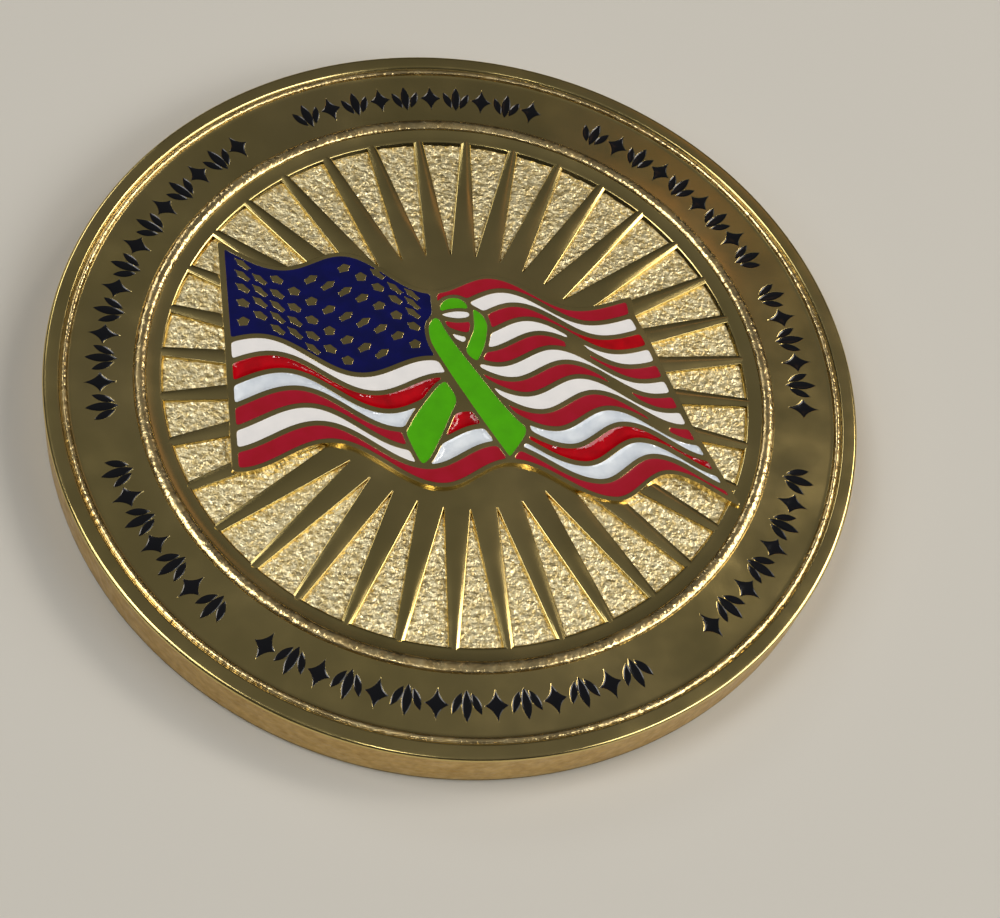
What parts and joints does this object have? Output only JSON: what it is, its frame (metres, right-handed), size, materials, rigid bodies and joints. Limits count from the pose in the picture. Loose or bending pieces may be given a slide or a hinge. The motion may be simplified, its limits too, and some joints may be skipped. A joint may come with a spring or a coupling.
{
  "type": "challenge coin",
  "caption": "Round struck metal coin, gold plated, with a sunburst field, a waving striped flag and a looped ribbon in coloured enamel, and a plain reverse.",
  "frame": {"origin": "centre of the reverse rim's plane, on the coin's axis", "axes": "+Z out of the front face, +Y towards the top of the design, +X to the right of the design"},
  "size_m": [0.0444, 0.0444, 0.003],
  "materials": {
    "gold_plate": "polished gold plating, with a sandblasted field between the rays",
    "navy_enamel": "smooth navy soft enamel",
    "red_enamel": "glossy red soft enamel",
    "white_enamel": "glossy white soft enamel",
    "green_enamel": "smooth lime green soft enamel",
    "black_enamel": "glossy black soft enamel"
  },
  "bodies": {
    "root": {"coin_body": "gold_plate", "canton_enamel": "navy_enamel", "red_stripe_1": "red_enamel", "red_stripe_2": "red_enamel", "red_stripe_3": "red_enamel", "red_stripe_4": "red_enamel", "red_stripe_5": "red_enamel", "red_stripe_6": "red_enamel", "red_stripe_7": "red_enamel", "white_stripe_1": "white_enamel", "white_stripe_2": "white_enamel", "white_stripe_3": "white_enamel", "white_stripe_4": "white_enamel", "white_stripe_5": "white_enamel", "white_stripe_6": "white_enamel", "ribbon_front_leg": "green_enamel", "ribbon_back_leg": "green_enamel", "ribbon_loop_cap": "green_enamel", "ribbon_loop_side": "green_enamel", "ornament_group_1": "black_enamel", "ornament_group_2": "black_enamel", "ornament_group_3": "black_enamel", "ornament_group_4": "black_enamel", "ornament_group_5": "black_enamel", "ornament_group_6": "black_enamel", "ornament_group_7": "black_enamel"}
  },
  "joints": []
}
